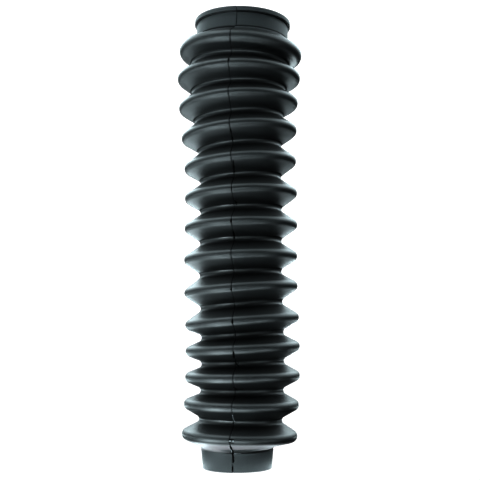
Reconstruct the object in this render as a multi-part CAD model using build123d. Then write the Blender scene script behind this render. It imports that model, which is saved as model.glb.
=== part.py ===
"""Rubber bellows boot: a moulded, hollow sleeve that clamps between a large and a small tube.

The boot stands upright on its small collar. The origin is at the centre of that collar's
rim, +Z runs up towards the large collar, and sizes are in millimetres and degrees.

Every crest and root is a short arc swept round the axis of its own fold. Folds are free to
lean, because the relaxed rubber sways a little: each one stands square to a swaying
centreline. Straight flanks join one rounding to the next, once for the outer skin and once
for the inner skin, and the two skins are sewn together round the collar rims.
"""
from build123d import *
from dataclasses import dataclass
import math
import os

# ---- Wall and collars ----
FOLD_WALL = 2.0            # rubber thickness in the folds
COLLAR_WALL = 2.5          # rubber thickness where a clamp bites
SMALL_BORE = 40.0          # tube diameter in the small collar
LARGE_BORE = 57.5          # tube diameter in the large collar
SMALL_COLLAR_HEIGHT = 12.0
LARGE_COLLAR_HEIGHT = 12.3
SMALL_COLLAR_FLARE = 1.0   # how far the small collar's outer wall leans out by its top
RELIEF_HEIGHT = 2.0        # inner slope from the collar's wall to the fold's wall
RIM_ROUNDING = 0.8         # on the small collar's rim
LIP_HEIGHT = 3.4           # square lip round the large collar's mouth
LIP_PROUD = 1.4            # how far the lip stands out from the collar
LIP_ROUNDING = 0.5

# ---- Folds ----
FOLD_COUNT = 14
CREST_DIAMETER = 75.5      # over most of the boot
LARGE_CREST_DIAMETER = 83.5    # at the folds next to the large collar
ROOT_DIAMETER = 54.4       # over most of the boot
LARGE_ROOT_DIAMETER = 66.0     # between the folds next to the large collar
LARGE_FOLD_COUNT = 2
TAPER_FOLD_COUNT = 2       # folds that step from one size to the other
CREST_ROUNDING = 3.7       # outer radius of a crest's section
LAST_CREST_ROUNDING = 5.0  # the same on the fold next to the large collar
ROOT_ROUNDING = 2.75       # outer radius of a root's section

# ---- Spacing ----
FIRST_PITCH = 19.6         # the lowest gap, held open by the stiff collar under it
SETTLED_PITCH = 18.1       # the next gaps, which sit closer under the boot's weight
SETTLED_GAPS = 3
OPEN_PITCH = 21.0          # crest to crest over the middle
CLOSED_PITCH = 17.8        # the last gap before the large collar
CLOSING_GAPS = 3           # gaps over which the pitch falls to it
SMALL_END_RISE = 9.5       # small collar to the first crest
LARGE_END_RISE = 10.1      # last crest to the large collar

# ---- Sway of the relaxed boot ----
SWAY = (0, 2, 3.4, 3.3, 2.3, 2.3, 2.4, 1.6, 0.7, 1.5, 5)    # centreline at each tenth
SHEAR = 2.5                # common lean of the folds against the centreline
LARGE_COLLAR_LEAN = 1.5    # of the large collar from upright, towards +X


@dataclass
class Rounding:
    """One crest or root: an arc of the wall's section, swept round its own fold's axis."""

    plane: Plane            # square to the fold's axis, through the arc's centre
    height: float           # of that plane along the centreline
    side_radius: float      # outer skin, at the crest's or root's tip
    rounding: float         # outer radius of the arc
    bulge: int              # 1 for a crest, -1 for a root

    @property
    def centre_radius(self) -> float:
        """Radius of the circle that the arc's centre runs round."""
        return self.side_radius - self.bulge * self.rounding

    def reach(self, depth: float) -> float:
        """Signed radius of the arc, for the skin at this depth under the outer skin."""
        return self.bulge * self.rounding - depth

    def rim(self, normal: float, depth: float) -> Edge:
        """Circle where the arc ends, with the wall's outward normal at this angle."""
        radius = self.centre_radius + self.reach(depth) * math.cos(math.radians(normal))
        rise = self.reach(depth) * math.sin(math.radians(normal))
        return Edge.make_circle(radius, self.plane.offset(rise))

    def band(self, normals: tuple[float, float], depth: float) -> Face:
        """The arc between two normals, swept round the fold's axis."""
        start, end = sorted(normals)
        turn = 0 if self.bulge > 0 else 180
        section = Plane.XZ.shift_origin((self.centre_radius, 0, 0))
        arc = Edge.make_circle(abs(self.reach(depth)), section, turn + start, turn + end)
        return self.plane.location * Face.revolve(arc, 360, Axis.Z)


def fold_pitch(gap: int) -> float:
    """Height between two neighbouring crests, gaps counted up from the small collar."""
    if gap == 0:
        return FIRST_PITCH
    if gap <= SETTLED_GAPS:
        return SETTLED_PITCH
    closing = max(0, gap - (FOLD_COUNT - 2 - CLOSING_GAPS))
    return OPEN_PITCH - (OPEN_PITCH - CLOSED_PITCH) * closing / CLOSING_GAPS


def side_radius(fold: float, usual: float, large: float) -> float:
    """Outer radius between a usual and a large diameter, folds counted up from the small collar."""
    steps_down = FOLD_COUNT - LARGE_FOLD_COUNT - fold
    share = min(1, max(0, 1 - steps_down / (TAPER_FOLD_COUNT + 1)))
    return (usual + (large - usual) * share) / 2


def flank_normal(below: Rounding, above: Rounding) -> float:
    """Angle of the outward normal on the straight flank between two roundings."""
    inward = below.centre_radius - above.centre_radius
    rise = above.height - below.height
    lean = math.degrees(math.atan2(inward, rise))
    swing = math.degrees(math.asin((below.rounding + above.rounding) / math.hypot(inward, rise)))
    return lean + below.bulge * swing


def skin(roundings: list[Rounding], depth: float) -> list[Face]:
    """All bands and flanks of one skin, between the upright walls of the two collars."""
    normals = [0.0]
    for below, above in zip(roundings, roundings[1:]):
        normals.append(flank_normal(below, above))
    normals.append(0.0)
    faces = []
    for index, rounding in enumerate(roundings):
        faces.append(rounding.band((normals[index], normals[index + 1]), depth))
    for below, above, normal in zip(roundings, roundings[1:], normals[1:]):
        rims = below.rim(normal, depth), above.rim(normal, depth)
        faces.append(Face.make_surface_from_curves(*rims))
    return faces


def collar(plane: Plane, corners: list[tuple[float, float]], rounding: float) -> list[Face]:
    """Faces of a collar, from its section's corners as radius and height."""
    outline = FilletPolyline(*[(radius, 0, height) for radius, height in corners], radius=rounding)
    return [plane.location * Face.revolve(edge, 360, Axis.Z) for edge in outline.edges()]


# ---- Heights, counted along the centreline from the small collar's rim ----
crest_heights = [SMALL_COLLAR_HEIGHT + SMALL_END_RISE]
for gap in range(FOLD_COUNT - 1):
    crest_heights.append(crest_heights[-1] + fold_pitch(gap))
large_collar_start = crest_heights[-1] + LARGE_END_RISE
length = large_collar_start + LARGE_COLLAR_HEIGHT
centreline = Spline(*[(sway, 0, length * i / (len(SWAY) - 1)) for i, sway in enumerate(SWAY)])


def fold_plane(height: float) -> Plane:
    """Plane of a crest or root, square to the swaying centreline and turned by the shear."""
    place = centreline.position_at(height / length)
    upward = centreline.tangent_at(height / length).rotate(Axis.Y, -SHEAR)
    return Plane(origin=place, x_dir=Vector(0, 1, 0).cross(upward), z_dir=upward)


# ---- Roundings from the small collar up: root, crest, root ... crest, root ----
small_side = SMALL_BORE / 2 + COLLAR_WALL
large_side = LARGE_BORE / 2 + COLLAR_WALL
small_plane = Plane.XY
large_plane = Plane(fold_plane(large_collar_start).origin).rotated((0, LARGE_COLLAR_LEAN, 0))

small_neck = small_side + SMALL_COLLAR_FLARE
roundings = [
    Rounding(small_plane.offset(SMALL_COLLAR_HEIGHT), SMALL_COLLAR_HEIGHT, small_neck, ROOT_ROUNDING, -1)
]
for fold, height in enumerate(crest_heights):
    if fold > 0:
        middle = (crest_heights[fold - 1] + height) / 2
        side = side_radius(fold - 0.5, ROOT_DIAMETER, LARGE_ROOT_DIAMETER)
        roundings.append(Rounding(fold_plane(middle), middle, side, ROOT_ROUNDING, -1))
    side = side_radius(fold, CREST_DIAMETER, LARGE_CREST_DIAMETER)
    roundings.append(Rounding(fold_plane(height), height, side, CREST_ROUNDING, 1))
roundings[-1].rounding = LAST_CREST_ROUNDING
roundings.append(Rounding(large_plane, large_collar_start, large_side, ROOT_ROUNDING, -1))

# ---- Collars ----
small_collar = collar(
    small_plane,
    [
        (small_neck, SMALL_COLLAR_HEIGHT),
        (small_side, 0),
        (SMALL_BORE / 2, 0),
        (SMALL_BORE / 2, SMALL_COLLAR_HEIGHT - RELIEF_HEIGHT),
        (small_neck - FOLD_WALL, SMALL_COLLAR_HEIGHT),
    ],
    RIM_ROUNDING,
)
lip_start = LARGE_COLLAR_HEIGHT - LIP_HEIGHT
large_collar = collar(
    large_plane,
    [
        (large_side, 0),
        (large_side, lip_start),
        (large_side + LIP_PROUD, lip_start),
        (large_side + LIP_PROUD, LARGE_COLLAR_HEIGHT),
        (LARGE_BORE / 2, LARGE_COLLAR_HEIGHT),
        (LARGE_BORE / 2, RELIEF_HEIGHT),
        (large_side - FOLD_WALL, 0),
    ],
    LIP_ROUNDING,
)

# ---- One closed skin round the rubber ----
faces = skin(roundings, 0) + skin(roundings, FOLD_WALL) + small_collar + large_collar
bellows_boot = Solid(Shell(faces))

os.makedirs("parts", exist_ok=True)
export_step(bellows_boot, "parts/bellows_boot.step")
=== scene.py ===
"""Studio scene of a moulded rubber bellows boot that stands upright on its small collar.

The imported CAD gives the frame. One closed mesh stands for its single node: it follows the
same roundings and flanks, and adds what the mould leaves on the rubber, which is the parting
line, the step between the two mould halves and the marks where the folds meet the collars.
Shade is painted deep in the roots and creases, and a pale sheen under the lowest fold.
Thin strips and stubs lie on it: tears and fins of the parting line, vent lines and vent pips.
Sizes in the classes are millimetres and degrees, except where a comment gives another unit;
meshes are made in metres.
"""
from dataclasses import dataclass, replace
from enum import Enum
import logging
import math
from typing import ClassVar

import bpy
import numpy as np
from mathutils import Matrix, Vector


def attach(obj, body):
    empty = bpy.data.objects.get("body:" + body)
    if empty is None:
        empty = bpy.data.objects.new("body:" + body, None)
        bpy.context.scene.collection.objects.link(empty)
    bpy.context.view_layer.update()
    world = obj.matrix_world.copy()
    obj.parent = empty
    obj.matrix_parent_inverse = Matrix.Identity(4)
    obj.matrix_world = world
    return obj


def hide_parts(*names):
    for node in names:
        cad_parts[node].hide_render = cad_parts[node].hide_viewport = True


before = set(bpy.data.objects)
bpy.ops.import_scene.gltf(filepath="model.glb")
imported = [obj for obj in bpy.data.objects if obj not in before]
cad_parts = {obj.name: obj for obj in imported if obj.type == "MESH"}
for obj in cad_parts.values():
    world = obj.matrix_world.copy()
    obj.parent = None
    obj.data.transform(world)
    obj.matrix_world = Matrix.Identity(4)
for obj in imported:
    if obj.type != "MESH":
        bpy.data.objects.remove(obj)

Colour = tuple[float, float, float, float]

MM = 0.001
WHITE: Colour = (1.0, 1.0, 1.0, 1.0)
DAYLIGHT: Colour = (0.85, 0.968, 1.0, 1.0)      # tint of the light that falls on the boot
LOG = logging.getLogger("bellows_boot")


# ---------------------------------------------------------------- shader expressions


class Socket:
    """An output of a node. Arithmetic on it adds Math nodes to the same tree."""

    def __init__(self, shader: "Shader", output: bpy.types.NodeSocket | None) -> None:
        """Wraps one output.

        Args:
            shader: the tree that new nodes are added to.
            output: the node's output socket, or None for a node that ends the tree.
        """
        self.shader = shader
        self.output = output

    def _math(self, operation: str, first: "Value", second: "Value") -> "Socket":
        """Adds one Math node.

        Args:
            operation: Blender's name of the operation.
            first: the node's first value or link.
            second: the node's second value or link.

        Returns:
            The node's output.
        """
        return self.shader.node("ShaderNodeMath", {"operation": operation}, {0: first, 1: second})

    def __add__(self, other: "Value") -> "Socket":
        """Sum with a value or link."""
        return self._math("ADD", self, other)

    def __radd__(self, other: "Value") -> "Socket":
        """Sum with a value on the left."""
        return self._math("ADD", other, self)

    def __sub__(self, other: "Value") -> "Socket":
        """Difference to a value or link."""
        return self._math("SUBTRACT", self, other)

    def __rsub__(self, other: "Value") -> "Socket":
        """Difference from a value on the left."""
        return self._math("SUBTRACT", other, self)

    def __mul__(self, other: "Value") -> "Socket":
        """Product with a value or link."""
        return self._math("MULTIPLY", self, other)

    def __rmul__(self, other: "Value") -> "Socket":
        """Product with a value on the left."""
        return self._math("MULTIPLY", other, self)

    def __pow__(self, other: "Value") -> "Socket":
        """Power, with a value or link as the exponent."""
        return self._math("POWER", self, other)

    def at_least(self, floor: "Value") -> "Socket":
        """The larger of this and another value or link."""
        return self._math("MAXIMUM", self, floor)

    def between(self, low: float, high: float) -> "Socket":
        """Smooth step of this value.

        Args:
            low: value at which the step is still 0.
            high: value at which it reaches 1, which may be under low.

        Returns:
            The stepped value.
        """
        settings = {"interpolation_type": "SMOOTHSTEP"}
        return self.shader.node("ShaderNodeMapRange", settings, {0: self, 1: low, 2: high})

    def vector(self, operation: str, other: tuple[float, float, float]) -> "Socket":
        """Adds one Vector Math node that gives a number.

        Args:
            operation: "DOT_PRODUCT" or "DISTANCE".
            other: the second vector.

        Returns:
            The number.
        """
        kind, settings = "ShaderNodeVectorMath", {"operation": operation}
        return self.shader.node(kind, settings, {0: self, 1: other}, "Value")

    def scaled(self, factor: "Value") -> "Socket":
        """This colour times a number, through one Vector Math node.

        Args:
            factor: the number or its link.

        Returns:
            The brighter or darker colour.
        """
        kind, settings = "ShaderNodeVectorMath", {"operation": "SCALE"}
        return self.shader.node(kind, settings, {0: self, "Scale": factor})


Value = Socket | float | int | tuple[float, ...]


class Shader:
    """A node tree. Every node in it comes from one method, which the others call."""

    def __init__(self, tree: bpy.types.NodeTree) -> None:
        """Empties the tree.

        Args:
            tree: the node tree of a material or a world.
        """
        self.tree = tree
        tree.nodes.clear()

    def node(
        self,
        kind: str,
        settings: dict[str, object] | None = None,
        sockets: dict[str | int, Value] | None = None,
        output: str | int = 0,
    ) -> Socket:
        """Adds any node.

        Args:
            kind: the node's type.
            settings: properties of the node, set before its sockets.
            sockets: values or links of its inputs, by name or place.
            output: name or place of the wanted output.

        Returns:
            That output.
        """
        made = self.tree.nodes.new(kind)
        for name, setting in (settings or {}).items():
            setattr(made, name, setting)
        for name, value in (sockets or {}).items():
            if isinstance(value, Socket):
                self.tree.links.new(value.output, made.inputs[name])
            else:
                made.inputs[name].default_value = value
        return Socket(self, made.outputs[output] if len(made.outputs) else None)

    def mix(self, share: Socket, first: Socket | Colour, second: Colour) -> Socket:
        """Mixes two colours.

        Args:
            share: how much of the second colour there is, 0 to 1.
            first: the first colour or its link.
            second: the second colour.

        Returns:
            The mixed colour.
        """
        settings = {"data_type": "RGBA"}
        return self.node("ShaderNodeMix", settings, {0: share, 6: first, 7: second}, 2)

    def lit(self, kind: str, glow: Socket, seen_glow: float) -> Socket:
        """Adds a light source that the camera sees as plain white.

        Args:
            kind: the source's node, an emission or a background.
            glow: how bright the daylight from it is, where it falls on the boot.
            seen_glow: how bright the white is that the camera sees.

        Returns:
            The source.
        """
        seen = self.node("ShaderNodeLightPath", output="Is Camera Ray")
        brightness = glow + seen * (seen_glow - glow)
        colour = self.mix(seen, DAYLIGHT, WHITE).scaled(brightness)
        return self.node(kind, {}, {"Color": colour})


# ---------------------------------------------------------------- finishes


class Mask(Enum):
    """What varies over the rubber, kept as a number at each point of the mesh."""

    BLACK = "black_and_shade"     # 1 where the skin is dull and black in the parting line, and where shade is painted deep in the roots and in the neck and lip creases
    GLOSS = "gloss"     # 1 where the mould had polished the rubber
    MATTE = "matte"     # 1 on the collars, which the mould left dull
    BLOOM = "painted_sheen"     # 1 where a pale sheen is painted under the lowest fold, for the floor's light that it reflects


@dataclass(frozen=True)
class Unevenness:
    """Noise through the rubber."""

    size: float         # of its features
    detail: float       # how many finer layers it has

    def value(self, shader: Shader, place: Socket) -> Socket:
        """Adds the noise to a material.

        Args:
            shader: the material's tree.
            place: coordinates in metres.

        Returns:
            The noise's value, about 0 to 1.
        """
        sockets = {"Vector": place, "Scale": 1 / (self.size * MM), "Detail": self.detail}
        return shader.node("ShaderNodeTexNoise", {}, sockets)


@dataclass(frozen=True)
class MouldedRubber:
    """Satin black rubber as it leaves the mould: dull on the collars, dark in the parting line,
    with painted shade in the roots and creases and a painted sheen under the lowest fold.
    """

    name: str = "moulded_rubber"
    colour: Colour = (0.002, 0.0025, 0.0028, 1)
    dusty_colour: Colour = (0.005, 0.006, 0.0064, 1)
    matte_colour: Colour = (0.012, 0.0145, 0.0155, 1)
    # painted sheen of the floor's light under the lowest fold
    painted_sheen_colour: Colour = (0.07, 0.061, 0.063, 1)
    # colour of the dull parting line and of the painted shade in the roots and creases
    black_and_shade_colour: Colour = (0.002, 0.0025, 0.003, 1)
    refraction: float = 1.52
    shine: float = 0.5              # strength of the mirror reflection, 0.5 for plain rubber
    roughness: float = 0.48
    roughness_swing: float = 0.08   # of the uneven surface
    gloss: float = 0.42             # how much smoother a polished spot is
    matte: float = 0.12             # how much rougher the collars are
    black_and_shade: float = 0.2              # how much rougher the dull parting line and the painted shade are
    black_and_shade_cover: float = 0.9        # share of the parting line and the painted shade that has no shine at all, shade painted over the reflection
    grain: Unevenness = Unevenness(0.9, 3)      # fine, from the mould's wall
    grain_depth: float = 0.02
    ripple: Unevenness = Unevenness(14.0, 2)    # slow, from uneven shrinking
    ripple_depth: float = 0.12
    cloud: Unevenness = Unevenness(42.0, 4)     # of the dust on the skin
    cloud_edge: tuple[float, float] = (0.35, 0.75)      # where the dust starts and is full

    def material(self) -> bpy.types.Material:
        """Makes the rubber's material.

        Returns:
            The new material.
        """
        made = bpy.data.materials.new(self.name)
        made.use_nodes = True
        shader = Shader(made.node_tree)
        place = shader.node("ShaderNodeTexCoord", output="Object")
        grain, ripple, cloud = (
            noise.value(shader, place) for noise in (self.grain, self.ripple, self.cloud)
        )
        black_and_shade, gloss, matte, painted_sheen = (self._mask(shader, mask) for mask in Mask)
        colour = shader.mix(cloud.between(*self.cloud_edge), self.colour, self.dusty_colour)
        colour = shader.mix(matte, colour, self.matte_colour)
        # painted sheen under the lowest fold
        colour = shader.mix(painted_sheen, colour, self.painted_sheen_colour)
        # painted shade in the roots and creases, and the dull parting line, darken the colour
        colour = shader.mix(black_and_shade, colour, self.black_and_shade_colour)
        uneven = self.roughness_swing * (cloud + grain - 1)
        dull = self.matte * matte.at_least(painted_sheen) + self.black_and_shade * black_and_shade
        roughness = self.roughness + uneven + dull - self.gloss * gloss
        slow = {"Distance": self.ripple_depth * MM, "Height": ripple}
        fine = {"Distance": self.grain_depth * MM, "Height": grain}
        normal = shader.node("ShaderNodeBump", {}, slow)
        normal = shader.node("ShaderNodeBump", {}, fine | {"Normal": normal})
        varied = {"Base Color": colour, "Roughness": roughness, "Normal": normal}
        fixed = {"IOR": self.refraction, "Specular IOR Level": self.shine}
        rubber = shader.node("ShaderNodeBsdfPrincipled", {}, varied | fixed)
        # neither the painted shade nor the dull parting line keeps any shine
        split = shader.node("ShaderNodeBsdfDiffuse", {}, {"Color": self.black_and_shade_colour})
        both = {0: self.black_and_shade_cover * black_and_shade, 1: rubber, 2: split}
        surface = shader.node("ShaderNodeMixShader", {}, both)
        shader.node("ShaderNodeOutputMaterial", {}, {"Surface": surface})
        return made

    @staticmethod
    def _mask(shader: Shader, mask: Mask) -> Socket:
        """Reads one of the mesh's masks."""
        return shader.node("ShaderNodeAttribute", {"attribute_name": mask.value}, output="Fac")


@dataclass(frozen=True)
class Pool:
    """A pool of light on the paper, brightest at its middle. Lengths are in metres."""

    azimuth: float              # of its middle in degrees, from the front towards +X
    distance: float             # of its middle from the boot's axis
    reach: float                # from the middle to where the pool has faded away
    brightness: float

    def glow(self, place: Socket) -> Socket:
        """How bright the pool is at a place on the paper.

        Args:
            place: coordinates in metres.

        Returns:
            Its brightness there.
        """
        azimuth = math.radians(self.azimuth)
        middle = self.distance * math.sin(azimuth), -self.distance * math.cos(azimuth), 0.0
        return self.brightness * place.vector("DISTANCE", middle).between(self.reach, 0)


@dataclass(frozen=True)
class LitPaper:
    """White paper under the boot, with pools of light on it and no edge to be seen."""

    seen_glow: float = 1.1          # of the whole paper, as the camera sees it
    pools: tuple[Pool, ...] = (
        Pool(0, 0.0, 0.045, 31.0),
        Pool(0, 0.0, 0.03, -66.0),      # shade right at the foot
        Pool(288, 0.036, 0.018, 4.0),
        Pool(225, 0.055, 0.045, 4.5),
        Pool(0, 0.09, 0.055, 20.0),
        Pool(315, 0.09, 0.055, 32.0),
        Pool(45, 0.15, 0.085, 18.0),
        Pool(270, 0.15, 0.085, 12.0),
        Pool(135, 0.24, 0.13, 8.8),
        Pool(225, 0.24, 0.13, 15.0),
        Pool(315, 0.24, 0.13, 26.0),
        Pool(0, 0.75, 0.45, 28.0),
        Pool(45, 0.75, 0.45, 13.0),
        Pool(180, 0.75, 0.45, 32.0),
        Pool(225, 0.75, 0.45, 6.8),
        Pool(270, 0.75, 0.45, 17.0),
        Pool(315, 0.75, 0.45, 35.0),
    )

    def material(self) -> bpy.types.Material:
        """Makes the paper's material.

        Returns:
            The new material.
        """
        made = bpy.data.materials.new("lit_paper")
        made.use_nodes = True
        shader = Shader(made.node_tree)
        place = shader.node("ShaderNodeNewGeometry", output="Position")
        glow = sum(pool.glow(place) for pool in self.pools).at_least(0.0)
        light = shader.lit("ShaderNodeEmission", glow, self.seen_glow)
        shader.node("ShaderNodeOutputMaterial", {}, {"Surface": light})
        return made


# ---------------------------------------------------------------- the boot's form


class Bulge(Enum):
    """Which way a rounding of the wall bulges."""

    CREST = 1
    ROOT = -1


class Zone(Enum):
    """Which stretch of the boot's skin a row of the mesh belongs to."""

    SMALL_COLLAR = 0
    FOLDS = 1
    NECK = 2
    LARGE_COLLAR = 3
    INSIDE = 4


@dataclass(frozen=True)
class Stand:
    """Where a ring stands: its plane's centre, and the plane's lean towards +X in radians."""

    x: float
    z: float
    lean: float

    def turned(self, angles: np.ndarray, radius: float, rise: float) -> np.ndarray:
        """Offsets from the centre at given azimuths.

        Args:
            angles: azimuths from the front towards +X, in radians.
            radius: distance from the ring's axis.
            rise: distance along it.

        Returns:
            One offset per azimuth.
        """
        across, along = radius * np.sin(angles), -radius * np.cos(angles)
        cosine, sine = math.cos(self.lean), math.sin(self.lean)
        return np.stack([across * cosine + rise * sine, along, rise * cosine - across * sine], 1)

    def ring(self, angles: np.ndarray, radius: float, rise: float) -> np.ndarray:
        """Points of the ring, with the same arguments as turned."""
        return self.turned(angles, radius, rise) + np.array([self.x, 0, self.z])


@dataclass(frozen=True)
class Centreline:
    """Smooth line that the folds stand along, from its sway at equal steps of height."""

    sways: tuple[float, ...]
    length: float       # up to the large collar's mouth
    shear: float        # lean of the folds against the line

    @property
    def slopes(self) -> np.ndarray:
        """Slope at each given sway, of the cubic line through them all.

        Returns:
            The slopes, in millimetres of sway for each of height.
        """
        sway, step = np.array(self.sways, float), self.length / (len(self.sways) - 1)
        count = len(sway)
        matrix, known = np.eye(count), np.zeros(count)
        for row in range(1, count - 1):
            matrix[row, row - 1 : row + 2] = (1, 4, 1)
            known[row] = 3 * (sway[row + 1] - sway[row - 1]) / step
        ends = np.array([-11, 18, -9, 2]) / (6 * step)      # slope of a cubic at the first of four
        known[0], known[-1] = ends @ sway[:4], -(ends @ sway[-1:-5:-1])
        return np.linalg.solve(matrix, known)

    def stand(self, height: float) -> Stand:
        """Where a fold at this height stands.

        Args:
            height: along the line, from the small collar's rim.

        Returns:
            The fold's stand.
        """
        step = self.length / (len(self.sways) - 1)
        span = min(int(height / step), len(self.sways) - 2)
        share = height / step - span
        below, above = self.sways[span : span + 2]
        rise_below, rise_above = self.slopes[span : span + 2] * step
        bend = below - above
        square = -2 * rise_below - rise_above - 3 * bend
        cube = rise_below + rise_above + 2 * bend
        sway = below + share * (rise_below + share * (square + share * cube))
        slope = (rise_below + share * (2 * square + share * 3 * cube)) / step
        return Stand(sway, height, math.atan(slope) - math.radians(self.shear))


@dataclass(frozen=True)
class Rounding:
    """One crest or root: an arc of the wall's section, swept round its stand's axis."""

    stand: Stand            # square to the rounding's axis, through the arc's centre
    height: float           # of that stand along the centreline
    side_radius: float      # of the outer skin, at the crest's or root's tip
    rounding: float         # outer radius of the arc
    bulge: Bulge

    @property
    def centre_radius(self) -> float:
        """Radius of the circle that the arc's centre runs round."""
        return self.side_radius - self.bulge.value * self.rounding

    def reach(self, depth: float) -> float:
        """Signed radius of the arc, for the skin at this depth under the outer skin."""
        return self.bulge.value * self.rounding - depth

    def flank_normal(self, above: "Rounding") -> float:
        """Finds how the flank between two roundings leans.

        Args:
            above: the next rounding up.

        Returns:
            Angle of the outward normal on the flank, in radians.
        """
        inward = self.centre_radius - above.centre_radius
        rise = above.height - self.height
        swing = math.asin((self.rounding + above.rounding) / math.hypot(inward, rise))
        return math.atan2(inward, rise) + self.bulge.value * swing


@dataclass(frozen=True)
class Columns:
    """Azimuths of the mesh's columns, which crowd together at the two parting lines."""

    line_azimuth: float = -9.2          # of the front line, from the front towards +X
    collar_azimuth: float = -7.0        # the same on the large collar, whose cavity sat turned
    foot_turn: float = 2.0              # how far the line turns on towards the small collar
    foot_heights: tuple[float, float] = (13.0, 19.0)    # between which it does so
    half_count: int = 54                # of the mesh's even turns from one line to the other
    beside: tuple[float, ...] = (-1.4, -0.85, -0.42, -0.2, 0.0, 0.2, 0.42, 0.85, 1.4)

    clear: ClassVar[int] = 3        # columns from a line to the first that its groove leaves alone
    far: ClassVar[float] = 99.0     # stands for the distance of a column far from both lines

    @property
    def coarse(self) -> np.ndarray:
        """Azimuths of the even columns clear of both lines, in radians from the line before."""
        return np.arange(2, self.half_count - 1) * math.pi / self.half_count

    @property
    def front(self) -> int:
        """Place of the front line's column."""
        return len(self.beside) // 2

    @property
    def back(self) -> int:
        """Place of the back line's column."""
        return self.front + len(self.beside) + len(self.coarse)

    def angles(self, ring: "Ring") -> np.ndarray:
        """Spreads the columns round a ring.

        Args:
            ring: the ring, whose height and zone say how far the lines are turned there.

        Returns:
            Azimuth of each column in radians, from the front line once round.
        """
        start = self.collar_azimuth if ring.zone is Zone.LARGE_COLLAR else self.line_azimuth
        height = ring.stand.z + ring.rise
        start += float(np.interp(height, self.foot_heights, (self.foot_turn, 0)))
        half = np.concatenate([np.array(self.beside) / ring.radius, self.coarse])
        return math.radians(start) + np.concatenate([half, half + math.pi])

    @property
    def offsets(self) -> np.ndarray:
        """Distance of each column from its own parting line."""
        half = np.concatenate([self.beside, np.full(len(self.coarse), self.far)])
        return np.concatenate([half, half])

    @property
    def sides(self) -> np.ndarray:
        """1 for columns of the right mould half, -1 for the left, 0 on the lines."""
        half = np.concatenate([np.sign(self.beside), np.ones(len(self.coarse))])
        return np.concatenate([half, -half])

    @property
    def turns(self) -> np.ndarray:
        """Turns of the columns from the front line.

        Returns:
            Azimuth of each column from that line, in degrees from -180 to 180.
        """
        half = np.concatenate([np.zeros(len(self.beside)), self.coarse])
        turns = np.degrees(np.concatenate([half, half + math.pi]))
        return np.where(turns > 180, turns - 360, turns)

    def share(self, side: int, fade: float) -> np.ndarray:
        """How much each column belongs to the stretch beside the front line.

        Args:
            side: 1 for the right mould half, -1 for the left.
            fade: azimuth from the line to where that has fallen from 1 to 0, in degrees.

        Returns:
            The shares, 0 on the other half.
        """
        return np.where(self.sides == side, np.clip(1 - np.abs(self.turns) / fade, 0, 1), 0)


@dataclass(frozen=True)
class Ring:
    """A circle on a stand, with the direction in which the skin faces there."""

    stand: Stand
    radius: float
    rise: float
    normal: float       # angle of that direction over the ring's plane, in radians
    zone: Zone
    root: int = 0       # place of its root, counted up from the small collar, or 0

    def as_inside(self) -> "Ring":
        """The same ring, as a part of the skin that faces the bore."""
        return replace(self, zone=Zone.INSIDE)

    def points(self, columns: Columns) -> np.ndarray:
        """Places of the ring's points, one per column."""
        return self.stand.ring(columns.angles(self), self.radius, self.rise)

    def facing(self, columns: Columns) -> np.ndarray:
        """Unit directions in which the skin faces, one per column."""
        return self.stand.turned(columns.angles(self), math.cos(self.normal), math.sin(self.normal))


class Skin:
    """Grid of points wound once round the rubber's section, row by row."""

    longest_step: ClassVar[dict[Zone, float]] = {
        Zone.SMALL_COLLAR: 0.7,
        Zone.FOLDS: 2.0,
        Zone.NECK: 2.0,
        Zone.LARGE_COLLAR: 2.0,
        Zone.INSIDE: 6.0,
    }

    def __init__(self, rings: list[Ring], columns: Columns) -> None:
        """Lays the rows, with more of them on the straights between two rings.

        Args:
            rings: the section's rings, in order, round to the first again.
            columns: the mesh's columns.
        """
        points, facing, self.rows = [], [], []
        for ring, after in zip(rings, rings[1:] + rings[:1]):
            ends = ring.points(columns), after.points(columns)
            turns = ring.facing(columns), after.facing(columns)
            gap = np.linalg.norm(ends[1] - ends[0], axis=1).mean()
            count = max(1, round(gap / self.longest_step[ring.zone]))
            for share in np.arange(count) / count:
                points.append(ends[0] + (ends[1] - ends[0]) * share)
                facing.append(turns[0] + (turns[1] - turns[0]) * share)
                self.rows.append(ring if share == 0 else replace(ring, root=0))
        self.columns = columns
        self.points, self.facing = np.array(points), np.array(facing)
        self.masks = {mask: np.zeros(self.points.shape[:2]) for mask in Mask}

    def rows_of(self, *zones: Zone) -> np.ndarray:
        """1 for each row that belongs to one of the zones, else 0."""
        return np.array([float(row.zone in zones) for row in self.rows])

    def bed(self, column: int) -> np.ndarray:
        """The outer skin under a parting line, below the large collar's neck.

        Args:
            column: the line's column.

        Returns:
            Place, facing and the way towards the next column, for each row from the foot up.
        """
        rows, clear = self.rows_of(Zone.SMALL_COLLAR, Zone.FOLDS) > 0, self.columns.clear
        before, after = self.points[rows, column - clear], self.points[rows, column + clear]
        way = (after - before) / np.linalg.norm(after - before, axis=1)[:, None]
        return np.stack([(before + after) / 2, self.facing[rows, column], way])

    def press(self, depths: np.ndarray) -> None:
        """Presses every point into the rubber by its own depth."""
        self.points -= self.facing * depths[:, :, None]

    def mark(self, mask: Mask, shares: np.ndarray) -> None:
        """Raises a mask to the given share at each point."""
        self.masks[mask] = np.maximum(self.masks[mask], np.clip(shares, 0, 1))

    def mesh(self, name: str) -> bpy.types.Mesh:
        """Makes the closed mesh.

        Args:
            name: of the mesh.

        Returns:
            The mesh in metres, smooth shaded, with the masks as attributes.
        """
        rows, columns = self.points.shape[:2]
        index = np.arange(rows * columns).reshape(rows, columns)
        above, beside = np.roll(index, -1, 0), np.roll(index, -1, 1)
        quads = np.stack([index, beside, np.roll(above, -1, 1), above], 2)
        made = grid_mesh(name, self.points, quads)
        for mask, shares in self.masks.items():
            attribute = made.attributes.new(mask.value, "FLOAT", "POINT")
            attribute.data.foreach_set("value", shares.ravel())
        return made


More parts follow.
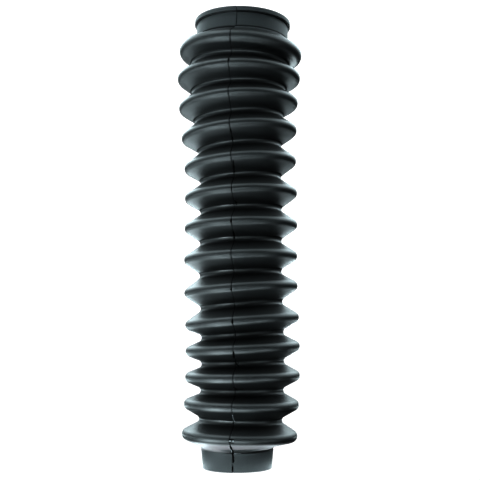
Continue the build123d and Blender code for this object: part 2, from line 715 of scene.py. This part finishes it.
def grid_mesh(name: str, points: np.ndarray, quads: np.ndarray) -> bpy.types.Mesh:
    """Makes a smooth mesh.

    Args:
        name: of the mesh.
        points: its points in millimetres, in any arrangement.
        quads: four places in the flattened points for each face.

    Returns:
        The mesh in metres.
    """
    made = bpy.data.meshes.new(name)
    made.from_pydata((points.reshape(-1, 3) * MM).tolist(), [], quads.reshape(-1, 4).tolist())
    made.shade_smooth()
    return made


CORNER_TURNS = 4            # between the rings on one rounded corner
BORE_FACING = -0.1          # outward share of the facing, under which a ring belongs to the bore


def rounded(
    stand: Stand, corners: list[tuple[float, float]], rounding: float, zone: Zone
) -> list[Ring]:
    """Rings of a section with rounded corners, where the skin faces right of the way it runs.

    Args:
        stand: where the section stands.
        corners: radius and rise of each corner; the first and last stay sharp.
        rounding: radius at the corners between.
        zone: the stretch that the rings belong to.

    Returns:
        The rings, in the corners' order.
    """
    places = np.array(corners)
    ways = np.diff(places, axis=0)
    ways /= np.linalg.norm(ways, axis=1)[:, None]
    normals = np.unwrap(np.arctan2(-ways[:, 0], ways[:, 1]))
    rings = [Ring(stand, *places[0], normals[0], zone)]
    for corner, way, before, after in zip(places[1:], ways, normals, normals[1:]):
        side = math.copysign(rounding, after - before)
        start = corner - way * rounding * math.tan(abs(after - before) / 2)
        centre = start - side * np.array([math.cos(before), math.sin(before)])
        for normal in np.linspace(before, after, CORNER_TURNS + 1):
            radius, rise = centre + side * np.array([math.cos(normal), math.sin(normal)])
            rings.append(Ring(stand, radius, rise, normal, zone))
    rings.append(Ring(stand, *places[-1], normals[-1], zone))
    bore = [math.cos(ring.normal) < BORE_FACING for ring in rings]
    return [ring.as_inside() if inside else ring for ring, inside in zip(rings, bore)]


@dataclass(frozen=True)
class SmallCollar:
    """Plain collar that the boot stands on."""

    bore: float = 40.0
    wall: float = 2.5
    height: float = 12.0
    flare: float = 1.0          # of the outer wall by its top
    relief_height: float = 2.0
    rim_rounding: float = 0.8

    stand: ClassVar[Stand] = Stand(0, 0, 0)

    @property
    def neck_radius(self) -> float:
        """Outer radius at the top, where the folds start."""
        return self.bore / 2 + self.wall + self.flare

    def rings(self, fold_wall: float) -> list[Ring]:
        """Rings from the inside of the neck down the bore, round the rim and up again.

        Args:
            fold_wall: thickness of the wall that the collar's neck runs into.

        Returns:
            The rings, in that order.
        """
        corners = [
            (self.neck_radius - fold_wall, self.height),
            (self.bore / 2, self.height - self.relief_height),
            (self.bore / 2, 0),
            (self.bore / 2 + self.wall, 0),
            (self.neck_radius, self.height),
        ]
        return rounded(self.stand, corners, self.rim_rounding, Zone.SMALL_COLLAR)


@dataclass(frozen=True)
class LargeCollar:
    """Collar with a square lip round its mouth."""

    bore: float = 57.5
    wall: float = 2.5
    height: float = 12.3
    relief_height: float = 2.0
    lip_height: float = 3.4
    lip_proud: float = 1.4
    lip_rounding: float = 0.5
    lean: float = 1.5           # from upright

    @property
    def neck_radius(self) -> float:
        """Outer radius at the foot, where the folds end."""
        return self.bore / 2 + self.wall

    def rings(self, stand: Stand, fold_wall: float) -> list[Ring]:
        """Rings from the outside of the neck up over the lip and down the bore.

        Args:
            stand: where the collar stands.
            fold_wall: thickness of the wall that the collar's neck runs into.

        Returns:
            The rings, in that order.
        """
        side, lip_start = self.neck_radius, self.height - self.lip_height
        corners = [
            (side, 0),
            (side, lip_start),
            (side + self.lip_proud, lip_start),
            (side + self.lip_proud, self.height),
            (self.bore / 2, self.height),
            (self.bore / 2, self.relief_height),
            (side - fold_wall, 0),
        ]
        return rounded(stand, corners, self.lip_rounding, Zone.LARGE_COLLAR)


@dataclass(frozen=True)
class Folds:
    """The folds between the collars, counted up from the small one."""

    count: int = 14
    wall: float = 2.0
    crest_diameter: float = 75.5            # over most of the boot
    large_crest_diameter: float = 83.5      # next to the large collar
    root_diameter: float = 54.4
    large_root_diameter: float = 66.0
    large_count: int = 2                    # folds of the large size
    taper_count: int = 2                    # folds that step down from it
    crest_rounding: float = 3.7
    last_crest_rounding: float = 5.0        # on the fold next to the large collar
    root_rounding: float = 2.75
    first_pitch: float = 19.6               # over the lowest gap
    settled_pitch: float = 18.1             # over the next ones, under the boot's weight
    settled_gaps: int = 3
    open_pitch: float = 21.0                # over the middle
    closed_pitch: float = 17.8              # over the last gap
    closing_gaps: int = 3                   # over which the pitch falls to it
    small_end_rise: float = 9.5             # from the small collar to the first crest
    large_end_rise: float = 10.1            # from the last crest to the large collar
    sways: tuple[float, ...] = (0, 2, 3.4, 3.3, 2.3, 2.3, 2.4, 1.6, 0.7, 1.5, 5)
    shear: float = 2.5

    outer_turn: ClassVar[float] = math.radians(8)       # between two rows on an outer arc
    foot_turn: ClassVar[float] = math.radians(4)        # the same on the lowest root
    inner_turn: ClassVar[float] = math.radians(26)      # the same on the inner skin

    def pitch(self, gap: int) -> float:
        """Finds how far apart two neighbouring crests are.

        Args:
            gap: the gap between them, counted up from 0 at the small collar.

        Returns:
            Height from the lower crest to the upper one.
        """
        if gap == 0:
            return self.first_pitch
        if gap <= self.settled_gaps:
            return self.settled_pitch
        closing = max(0, gap - (self.count - 2 - self.closing_gaps))
        fall = self.open_pitch - self.closed_pitch
        return self.open_pitch - fall * closing / self.closing_gaps

    def heights(self, start: float) -> list[float]:
        """Stacks the crests on the small collar.

        Args:
            start: height of the small collar.

        Returns:
            Height of each crest, from the lowest up.
        """
        heights = [start + self.small_end_rise]
        for gap in range(self.count - 1):
            heights.append(heights[-1] + self.pitch(gap))
        return heights

    def side_radius(self, fold: float, usual: float, large: float) -> float:
        """Outer radius between a usual and a large diameter.

        Args:
            fold: the fold's place, counted up from 0; a half lies halfway to the next fold.
            usual: diameter over most of the boot.
            large: diameter next to the large collar.

        Returns:
            The radius there.
        """
        steps_down = self.count - self.large_count - fold
        share = min(1, max(0, 1 - steps_down / (self.taper_count + 1)))
        return (usual + (large - usual) * share) / 2

    def roundings(self, small: SmallCollar, large: LargeCollar) -> list[Rounding]:
        """Places every rounding, from the small collar's neck to the large collar's.

        Args:
            small: the collar at the foot.
            large: the collar at the top.

        Returns:
            The roundings in order, a root at both ends.
        """
        heights = self.heights(small.height)
        top = heights[-1] + self.large_end_rise
        line = Centreline(self.sways, top + large.height, self.shear)
        foot = Stand(0, small.height, 0)
        rest = self.root_rounding, Bulge.ROOT
        placed = [Rounding(foot, small.height, small.neck_radius, *rest)]
        for fold, height in enumerate(heights):
            if fold > 0:
                middle = (heights[fold - 1] + height) / 2
                side = self.side_radius(fold - 0.5, self.root_diameter, self.large_root_diameter)
                placed.append(Rounding(line.stand(middle), middle, side, *rest))
            side = self.side_radius(fold, self.crest_diameter, self.large_crest_diameter)
            bend = self.crest_rounding if fold < self.count - 1 else self.last_crest_rounding
            placed.append(Rounding(line.stand(height), height, side, bend, Bulge.CREST))
        crown = line.stand(top)
        crown = Stand(crown.x, crown.z, math.radians(large.lean))
        placed.append(Rounding(crown, top, large.neck_radius, *rest))
        return placed

    def rings(self, roundings: list[Rounding], depth: float) -> list[Ring]:
        """Rings of one skin, from the small collar up.

        Args:
            roundings: the placed roundings.
            depth: how far the skin lies under the outer skin.

        Returns:
            The rings, facing out of the rubber.
        """
        pairs = zip(roundings, roundings[1:])
        normals = [0.0, *(below.flank_normal(above) for below, above in pairs), 0.0]
        rings = []
        for place, rounding in enumerate(roundings):
            start, end = normals[place : place + 2]
            neck = place == len(roundings) - 1
            if depth > 0:
                turn, zone = self.inner_turn, Zone.INSIDE
            else:
                turn = self.outer_turn if place > 0 else self.foot_turn
                zone = Zone.NECK if neck else Zone.FOLDS
            steps = max(2, math.ceil(abs(end - start) / turn))
            root = place // 2 if rounding.bulge is Bulge.ROOT and not neck else 0
            reach = rounding.reach(depth)
            for normal in np.linspace(start, end, steps + 1):
                radius = rounding.centre_radius + reach * math.cos(normal)
                rise = reach * math.sin(normal)
                facing = normal + (math.pi if depth > 0 else 0)
                rings.append(Ring(rounding.stand, radius, rise, facing, zone, root))
        return rings


# ---------------------------------------------------------------- what the mould leaves, with painted shade, sheen and glints


OUTSIDE = (Zone.SMALL_COLLAR, Zone.FOLDS, Zone.NECK, Zone.LARGE_COLLAR)
TINY = 1e-6                 # keeps a way of no length from being divided by nothing


@dataclass(frozen=True)
class PartingLine:
    """The two lines where the mould halves met, with a step between the halves."""

    depth: float = 0.2              # of the line's groove
    widths: tuple[float, float] = (0.16, 0.38)      # from its middle to its floor's edge and mouth
    darkness: float = 0.55
    least_wear: float = 0.4         # share of depth and darkness that is left everywhere
    wear_swing: float = 1.2         # what unevenness adds to that at most
    wear_rows: int = 5              # rows over which the unevenness is smoothed
    step: float = 0.10              # between the two halves
    seed: int = 7

    def mark(self, skin: Skin) -> None:
        """Presses both lines into the outer skin and darkens them.

        Args:
            skin: the boot's skin, changed in place.
        """
        random = np.random.default_rng(self.seed)
        offsets, outer = np.abs(skin.columns.offsets), skin.rows_of(*OUTSIDE)
        window = np.ones(self.wear_rows) / self.wear_rows
        wear = np.convolve(random.random(len(outer) + self.wear_rows - 1), window, "valid")
        strength = outer * (self.least_wear + self.wear_swing * wear)
        line = np.outer(strength, np.interp(offsets, self.widths, (1, 0)))
        step = np.outer(outer, skin.columns.sides) * self.step / 2
        skin.press(self.depth * line + step)
        skin.mark(Mask.BLACK, self.darkness * line)


@dataclass(frozen=True)
class PolishedRoots:
    """Roots with painted shade deep in them, and dented and shiny beside the front line on the
    left.
    """

    shares: tuple[float, ...] = (0.8, 0.4, 0.4, 0.3, 0.6, 1.0, 1.0, 0.9, 0.2, 0.1)  # lowest first
    fade: float = 38.0          # azimuth over which the shine fades away
    dent: float = 0.16
    normal: float = -27.0       # facing of the shiny streak's middle, over the root's own plane
    spread: float = 7.0         # of the facings that it takes in
    dull: float = 0.8           # painted shade on the root above the streak
    shade_normals: tuple[float, ...] = (-46.0, -38.0, -32.0, -25.0)      # where that starts and ends

    def mark(self, skin: Skin) -> None:
        """Dents the roots, makes them shine there and paints shade on the rest of them.

        Args:
            skin: the boot's skin, changed in place.
        """
        roots = np.array([row.root for row in skin.rows])
        strengths = np.zeros(roots.max() + 1)
        strengths[1 : len(self.shares) + 1] = self.shares
        outer = skin.rows_of(Zone.FOLDS)
        normals = np.degrees([row.normal for row in skin.rows])
        turns = (normals - self.normal) / self.spread
        beside = np.sqrt(skin.columns.share(-1, self.fade))
        shares = np.outer(strengths[roots] * outer * np.exp(-(turns**2)), beside)
        skin.press(self.dent * shares)
        skin.mark(Mask.GLOSS, shares)
        # painted shade deep in every root
        deep = (roots > 0) * outer
        dull = deep * np.interp(normals, self.shade_normals, (0, self.dull, self.dull, 0))
        skin.mark(Mask.BLACK, dull[:, None] * (1 - shares))


@dataclass(frozen=True)
class NeckMarks:
    """What the mould halves leave where the folds meet the collars, not the same on both, with
    painted shade in the creases and a painted sheen under the lowest fold.
    """

    drop: float = 0.9               # how much lower the left half's upper neck is
    drop_fade: float = 70.0         # azimuth over which that fades away
    undercut: tuple[tuple[float, float], ...] = (
        (11.2, 0.0), (11.9, -0.3), (12.3, 0.0), (13.0, 0.3), (13.5, 0.6), (14.0, 1.0),
        (14.3, 1.3), (14.6, 0.0),
    )                               # height, and how far the small neck's right half stands back
    low_undercut: tuple[tuple[float, float], ...] = (
        (11.6, 0.0), (12.2, 0.0), (12.8, 0.4), (13.2, 0.7), (13.5, 0.0),
    )                               # the same farther round to the right
    undercut_turns: tuple[float, ...] = (-20, 0, 20, 50)        # azimuths from the front line
    low_turns: tuple[float, ...] = (20, 50, 110, 160)
    painted_sheen_heights: tuple[float, ...] = (12.4, 13.6, 17.5, 19.5)     # where the painted sheen lies, under the lowest fold
    painted_sheen_loss: float = 3.0         # of the painted sheen for each millimetre of undercut
    crease_shade: float = 0.75            # painted shade in the upper neck's crease
    crease_shade_normals: tuple[float, ...] = (1.0, 5.0, 20.0, 32.0)      # facings that it takes in
    lip_shade: float = 0.9         # painted shade in the crease under the large collar's lip
    lip_shade_left: float = 0.6    # share of that on the left mould half
    lip_normals: tuple[float, float] = (-80.0, -8.0)        # facings that it takes in
    neck_matte: float = 0.7         # how much of the collars' dullness the upper neck has

    def mark(self, skin: Skin) -> None:
        """Shapes both necks, dulls the collars, paints shade in the creases and paints a pale sheen
        on the lowest fold's underside.

        Args:
            skin: the boot's skin, changed in place.
        """
        left = skin.columns.share(-1, self.drop_fade) ** 2
        neck, large = skin.rows_of(Zone.NECK), skin.rows_of(Zone.LARGE_COLLAR)
        skin.points[:, :, 2] -= np.outer(neck, left) * self.drop
        low, heights = skin.rows_of(Zone.SMALL_COLLAR, Zone.FOLDS), skin.points[:, :, 2]
        depths = np.zeros(heights.shape)
        stretches = (self.undercut, self.undercut_turns), (self.low_undercut, self.low_turns)
        for cut, turns in stretches:
            rows = low * np.interp(heights[:, skin.columns.back], *zip(*cut))
            depths += np.outer(rows, np.interp(skin.columns.turns, turns, (0, 1, 1, 0)))
        away = skin.facing * (1, 1, 0)
        away /= np.linalg.norm(away, axis=2)[:, :, None] + TINY
        skin.points -= away * depths[:, :, None]
        # painted sheen on the lowest fold's underside, less where the neck is undercut
        painted_sheen = low[:, None] * np.interp(heights, self.painted_sheen_heights, (0, 1, 1, 0))
        skin.mark(Mask.BLOOM, painted_sheen * (1 - np.clip(self.painted_sheen_loss * depths, 0, 1)))
        # painted shade in the upper neck's crease and under the large collar's lip
        normals = np.degrees([row.normal for row in skin.rows])
        crease_shade = neck * np.interp(normals, self.crease_shade_normals, (0, self.crease_shade, self.crease_shade, 0))
        skin.mark(Mask.BLACK, crease_shade[:, None])
        lowest, highest = self.lip_normals
        under_lip = large * (normals > lowest) * (normals < highest) * self.lip_shade
        halves = np.where(skin.columns.sides > 0, 1.0, self.lip_shade_left)
        skin.mark(Mask.BLACK, np.outer(under_lip, halves))
        dull = skin.rows_of(Zone.SMALL_COLLAR, Zone.LARGE_COLLAR) + self.neck_matte * neck
        skin.mark(Mask.MATTE, dull[:, None])


@dataclass(frozen=True)
class Scar:
    """A thin ragged strip along the skin, from a parting line that tore open or stayed proud."""

    path: tuple[tuple[float, float], ...]   # height, and offset from the line to its right
    width: float
    proud: float = 0.12

    step: ClassVar[float] = 0.3             # between two rows along the strip
    least_rows: ClassVar[int] = 5
    blunt: ClassVar[float] = 0.2            # share of its width and height at both ends
    least_edge: ClassVar[float] = 0.7       # share of its width where an edge wanders in most
    edge_swing: ClassVar[float] = 0.6       # and what its wandering out adds to that at most
    buried: ClassVar[float] = -0.15         # height of its edges, under the skin
    profile: ClassVar[tuple[tuple[float, float], ...]] = (      # shares of half width and height
        (-1, buried), (-0.7, 0.7), (0, 1), (0.7, 0.7), (1, buried)
    )

    def strip(self, bed: np.ndarray, random: np.random.Generator) -> np.ndarray:
        """Lays the strip on the skin.

        Args:
            bed: the skin under the parting line.
            random: source of its ragged edges.

        Returns:
            The points of the profile, at each step along the strip.
        """
        path = np.array(self.path)
        along = np.cumsum([0, *np.linalg.norm(np.diff(path, axis=0), axis=1)])
        rows = max(self.least_rows, round(along[-1] / self.step))
        steps = np.linspace(0, along[-1], rows)
        heights, offsets = (np.interp(steps, along, part)[:, None] for part in path.T)
        tall, known = heights[:, 0], bed[0, :, 2]
        centre, out, way = (
            np.stack([np.interp(tall, known, values) for values in part.T], 1) for part in bed
        )
        sagging = offsets**2 / (2 * np.linalg.norm(centre[:, :2], axis=1)[:, None])
        centre = centre + offsets * way - sagging * out
        across = np.cross(np.gradient(centre, axis=0), out)
        across /= np.linalg.norm(across, axis=1)[:, None]
        taper = np.clip(np.minimum(steps, along[-1] - steps) / self.width, self.blunt, 1)
        wander = self.least_edge + self.edge_swing * random.random((2, rows))
        lines = []
        for side, lift in self.profile:
            half = side * self.width / 2 * taper * wander[int(side > 0)]
            rise = lift * self.proud * taper if lift > 0 else np.full(rows, lift)
            lines.append(centre + half[:, None] * across + rise[:, None] * out)
        return np.stack(lines, 1)


@dataclass(frozen=True)
class Scars:
    """Scars of one kind along the parting lines."""

    name: str
    scars: tuple[Scar, ...]
    seed: int = 3

    def mesh(self, skin: Skin, columns: tuple[int, ...]) -> bpy.types.Mesh:
        """Makes all the strips, on each of the given parting lines.

        Args:
            skin: the boot's skin, which they lie on.
            columns: the columns of the parting lines.

        Returns:
            The mesh in metres.
        """
        random = np.random.default_rng(self.seed)
        points, quads, count = [], [], 0
        for column in columns:
            bed = skin.bed(column)
            for scar in self.scars:
                strip = scar.strip(bed, random)
                index = count + np.arange(strip.size // 3).reshape(strip.shape[:2])
                faces = [index[:-1, :-1], index[:-1, 1:], index[1:, 1:], index[1:, :-1]]
                points.append(strip.reshape(-1, 3))
                quads.append(np.stack(faces, 2).reshape(-1, 4))
                count += strip.size // 3
        return grid_mesh(self.name, np.concatenate(points), np.concatenate(quads))


TEARS = Scars("seam_tears", (
    Scar(((263.1, 0.1), (262.1, 0.2), (260.2, 0.4)), 1.0),
    Scar(((218.0, -0.2), (215.1, 0.1)), 1.0),
    Scar(((214.2, 0.0), (211.3, 0.0)), 2.3, 0.2),
    Scar(((197.2, 1.0), (194.2, 0.7), (190.2, 0.2)), 0.9),
    Scar(((179.1, 0.1), (178.5, 0.0), (177.4, -0.2)), 1.2),
    Scar(((172.2, 0.6), (170.6, 1.3), (168.9, 1.7)), 2.6, 0.25),
    Scar(((159.5, -0.1), (158.2, -0.2), (156.3, -0.6)), 1.3),
    Scar(((152.3, 0.1), (149.5, 0.1), (147.2, 0.2)), 1.3),
    Scar(((116.0, 0.0), (114.7, -0.4), (113.5, -0.4)), 1.4),
    Scar(((96.3, 0.0), (94.3, -0.3), (92.6, -0.5)), 1.6),
    Scar(((76.6, 0.1), (74.3, -0.1), (71.0, -0.8)), 1.4),
    Scar(((70.2, -0.8), (67.8, 0.6), (65.3, 2.6)), 1.0),
    Scar(((69.0, -1.9), (68.4, -1.6)), 0.9),
    Scar(((69.7, 1.0), (67.8, 1.8)), 0.9),
    Scar(((58.1, -0.2), (56.9, -0.2)), 1.3),
    Scar(((54.4, -0.8), (52.7, 0.3), (51.1, 1.7)), 1.4),
    Scar(((48.2, -0.1), (47.7, 0.3)), 1.3),
    Scar(
        ((18.7, -0.4), (16.2, -0.15), (14.6, 0.2), (12.0, 0.0), (10.1, 0.3), (6.4, 0.6)),
        1.3, 0.15,
    ),
    Scar(((8.8, 0.5), (6.2, 0.5)), 1.7, 0.2),
    Scar(((4.5, -0.2), (0.9, -0.3)), 1.2),
))
VENT_LINES = Scars("vent_lines", (
    Scar(((22.6, -1.0), (22.4, 1.0), (22.4, 3.0)), 0.8),
    Scar(((20.4, -1.0), (20.3, 1.0), (20.2, 3.0)), 0.7),
))
# fins of flash in pale grey, a painted glint on their edges; the strip along 12.1 paints the lit
# top edge of the small collar
GLINT_FINS = Scars("seam_glint_fins", (
    Scar(((16.9, -1.0), (14.9, -0.5), (12.6, -0.5)), 0.6, 0.4),
    Scar(((6.2, 0.0), (5.5, 0.1)), 0.7, 0.5),
    Scar(((12.1, 0.8), (12.1, 9.0)), 0.45, 0.2),
    Scar(((37.1, -0.1), (33.9, 0.1), (31.7, 0.8)), 0.5, 0.15),
))


@dataclass(frozen=True)
class VentPips:
    """Stubs of rubber from the mould's vents, on the lowest fold beside the front line."""

    offsets: tuple[float, ...] = (0.1, 2.1)     # from the line, towards the right half
    radius: float = 0.55
    proud: float = 0.5
    normal: float = -2.0            # facing of the crest's skin where they stand

    sides: ClassVar[int] = 10
    levels: ClassVar[tuple[float, ...]] = (-0.5, 0.0, 0.5, 0.8, 1.0)    # shares of their height
    tip: ClassVar[float] = 0.01     # share of the radius that is left at the top

    def mesh(self, name: str, crest: Rounding, columns: Columns) -> bpy.types.Mesh:
        """Makes the pips as small domes.

        Args:
            name: of the mesh.
            crest: the lowest fold's crest.
            columns: the columns, for the front line's azimuth.

        Returns:
            The mesh in metres.
        """
        turn = math.radians(self.normal)
        radius = crest.centre_radius + crest.rounding * math.cos(turn)
        azimuths = math.radians(columns.line_azimuth) + np.array(self.offsets) / radius
        feet = crest.stand.ring(azimuths, radius, crest.rounding * math.sin(turn))
        ups = crest.stand.turned(azimuths, math.cos(turn), math.sin(turn))
        around = np.arange(self.sides) * math.tau / self.sides
        domes = []
        for foot, up in zip(feet, ups):
            first = np.cross(up, (0, 0, 1))
            first /= np.linalg.norm(first)
            second = np.cross(up, first)
            circle = np.outer(np.cos(around), first) + np.outer(np.sin(around), second)
            for level in self.levels:
                wide = self.radius * math.sqrt(1 - max(0.0, level) ** 2 + self.tip**2)
                domes.append(foot + circle * wide + up * level * self.proud)
        points = np.array(domes).reshape(len(self.offsets), len(self.levels), self.sides, 3)
        index = np.arange(points.size // 3).reshape(points.shape[:3])
        beside = np.roll(index, -1, 2)
        quads = np.stack([index[:, :-1], beside[:, :-1], beside[:, 1:], index[:, 1:]], 3)
        return grid_mesh(name, points, quads)


@dataclass(frozen=True)
class BellowsBoot:
    """The whole moulding, with its finishes."""

    small_collar: SmallCollar = SmallCollar()
    large_collar: LargeCollar = LargeCollar()
    folds: Folds = Folds()
    columns: Columns = Columns()
    parting_line: PartingLine = PartingLine()
    polished_roots: PolishedRoots = PolishedRoots()
    neck_marks: NeckMarks = NeckMarks()
    tears: Scars = TEARS
    vent_lines: Scars = VENT_LINES
    glint_fins: Scars = GLINT_FINS
    pips: VentPips = VentPips()
    finish: MouldedRubber = MouldedRubber()
    torn_finish: MouldedRubber = MouldedRubber(
        name="torn_rubber", colour=(0.001, 0.001, 0.001, 1), dusty_colour=(0.002, 0.002, 0.002, 1),
        shine=0.03, roughness=0.7,
    )
    # pale grey rubber on the fins and pips, which paints the glints on them
    glint_finish: MouldedRubber = MouldedRubber(
        name="glint_rubber", colour=(0.1, 0.105, 0.11, 1), dusty_colour=(0.14, 0.145, 0.15, 1)
    )

    def skin(self, roundings: list[Rounding]) -> Skin:
        """Lays the whole skin and leaves the mould's marks on it.

        Args:
            roundings: the placed crests and roots.

        Returns:
            The finished skin.
        """
        wall = self.folds.wall
        rings = [
            *self.small_collar.rings(wall),
            *self.folds.rings(roundings, 0)[1:-1],
            *self.large_collar.rings(roundings[-1].stand, wall),
            *self.folds.rings(roundings, wall)[-2:0:-1],
        ]
        skin = Skin(rings, self.columns)
        self.neck_marks.mark(skin)
        self.polished_roots.mark(skin)
        self.parting_line.mark(skin)
        return skin

    def build(self) -> list[bpy.types.Object]:
        """Makes every piece of the boot, rides it on the root body and dresses it.

        Returns:
            The pieces, the moulding first.
        """
        roundings = self.folds.roundings(self.small_collar, self.large_collar)
        skin = self.skin(roundings)
        finishes = self.finish, self.torn_finish, self.glint_finish
        rubber, torn, glint = (finish.material() for finish in finishes)
        moulding = self._piece(skin.mesh("boot_moulding"), rubber)
        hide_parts("bellows_boot")
        front, back = self.columns.front, self.columns.back
        lowest_crest = roundings[1]
        return [
            moulding,
            self._piece(self.tears.mesh(skin, (front, back)), torn),
            self._piece(self.vent_lines.mesh(skin, (front,)), torn),
            # fins and pips in the pale grey of painted glints
            self._piece(self.glint_fins.mesh(skin, (front, back)), glint),
            self._piece(self.pips.mesh("vent_pips", lowest_crest, self.columns), glint),
        ]

    @staticmethod
    def _piece(mesh: bpy.types.Mesh, finish: bpy.types.Material) -> bpy.types.Object:
        """Puts one rubber piece in the scene.

        Args:
            mesh: its mesh, which it shares its name with.
            finish: its material.

        Returns:
            The new object.
        """
        mesh.materials.append(finish)
        piece = bpy.data.objects.new(mesh.name, mesh)
        bpy.context.scene.collection.objects.link(piece)
        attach(piece, "root")
        return piece


# ---------------------------------------------------------------- studio


@dataclass(frozen=True)
class SoftBox:
    """A round soft light far away, which fades out smoothly from its middle."""

    azimuth: float              # from the front towards +X
    height: float               # over the horizon
    brightness: float
    tightness: float = 22.0     # a larger one makes it smaller

    def glow(self, way: Socket) -> Socket:
        """How bright the box is in a direction.

        Args:
            way: the direction, away from the boot.

        Returns:
            Its brightness there.
        """
        azimuth, height = math.radians(self.azimuth), math.radians(self.height)
        flat = math.cos(height)
        middle = math.sin(azimuth) * flat, -math.cos(azimuth) * flat, math.sin(height)
        return self.brightness * way.vector("DOT_PRODUCT", middle).at_least(0.0) ** self.tightness


@dataclass(frozen=True)
class Studio:
    """Paper floor, soft boxes to the sides, above and behind, and the camera."""

    floor_size: float = 12.0        # in metres
    backdrop: float = 1.2           # brightness that the camera sees round the boot
    contrast: float = 1.75          # of the developed picture
    lens: float = 66.0
    sensor: float = 36.0
    camera_place: tuple[float, float, float] = (0.0017, -0.5879, 0.0853)       # in metres
    camera_rise: float = 6.26       # upward look
    paper: LitPaper = LitPaper()
    soft_boxes: tuple[SoftBox, ...] = (
        SoftBox(0, 58, 6.0),
        SoftBox(60, 58, 8.0),
        SoftBox(90, 32, 6.3),
        SoftBox(120, 32, 7.5),
        SoftBox(150, 32, 9.6),
        SoftBox(210, 32, 12.0),
        SoftBox(240, 32, 6.0),
        SoftBox(270, 32, 5.0),
        SoftBox(300, 58, 16.0),
    )

    def build(self) -> None:
        """Makes the floor, the surroundings and the camera."""
        self._floor()
        self._surroundings()
        self._camera()

    def _floor(self) -> None:
        """Lays the paper under the boot."""
        half = self.floor_size / 2
        edge = [(-half, -half, 0), (half, -half, 0), (half, half, 0), (-half, half, 0)]
        mesh = bpy.data.meshes.new("floor")
        mesh.from_pydata(edge, [], [(0, 1, 2, 3)])
        mesh.materials.append(self.paper.material())
        floor = bpy.data.objects.new("floor", mesh)
        bpy.context.scene.collection.objects.link(floor)

    def _surroundings(self) -> None:
        """Fills the world with the soft boxes, in front of a white backdrop."""
        world = bpy.data.worlds.new("studio")
        bpy.context.scene.world = world
        world.use_nodes = True
        shader = Shader(world.node_tree)
        way = shader.node("ShaderNodeTexCoord", output="Generated")
        glow = sum(box.glow(way) for box in self.soft_boxes)
        light = shader.lit("ShaderNodeBackground", glow, self.backdrop)
        shader.node("ShaderNodeOutputWorld", {}, {"Surface": light})

    def _camera(self) -> None:
        """Sets the camera up in front of the boot, looking slightly upwards."""
        scene = bpy.context.scene
        lens = bpy.data.cameras.new("camera")
        lens.lens, lens.sensor_width = self.lens, self.sensor
        camera = bpy.data.objects.new("camera", lens)
        camera.location = self.camera_place
        camera.rotation_euler = (math.radians(90 + self.camera_rise), 0, 0)
        scene.collection.objects.link(camera)
        scene.camera = camera
        scene.view_settings.view_transform = "Standard"
        scene.view_settings.gamma = 1 / self.contrast


def corners(bounds: tuple[Vector, Vector]) -> list[list[float]]:
    """Lowest and highest corner as plain lists."""
    return [list(corner) for corner in bounds]


def main() -> None:
    """Builds the studio and the boot."""
    logging.basicConfig(level=logging.INFO, format="%(name)s %(message)s")
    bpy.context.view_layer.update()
    Studio().build()
    for piece in BellowsBoot().build():
        LOG.info("%s: %d faces", piece.name, len(piece.data.polygons))
    bpy.context.view_layer.update()


if __name__ == "__main__":
    main()
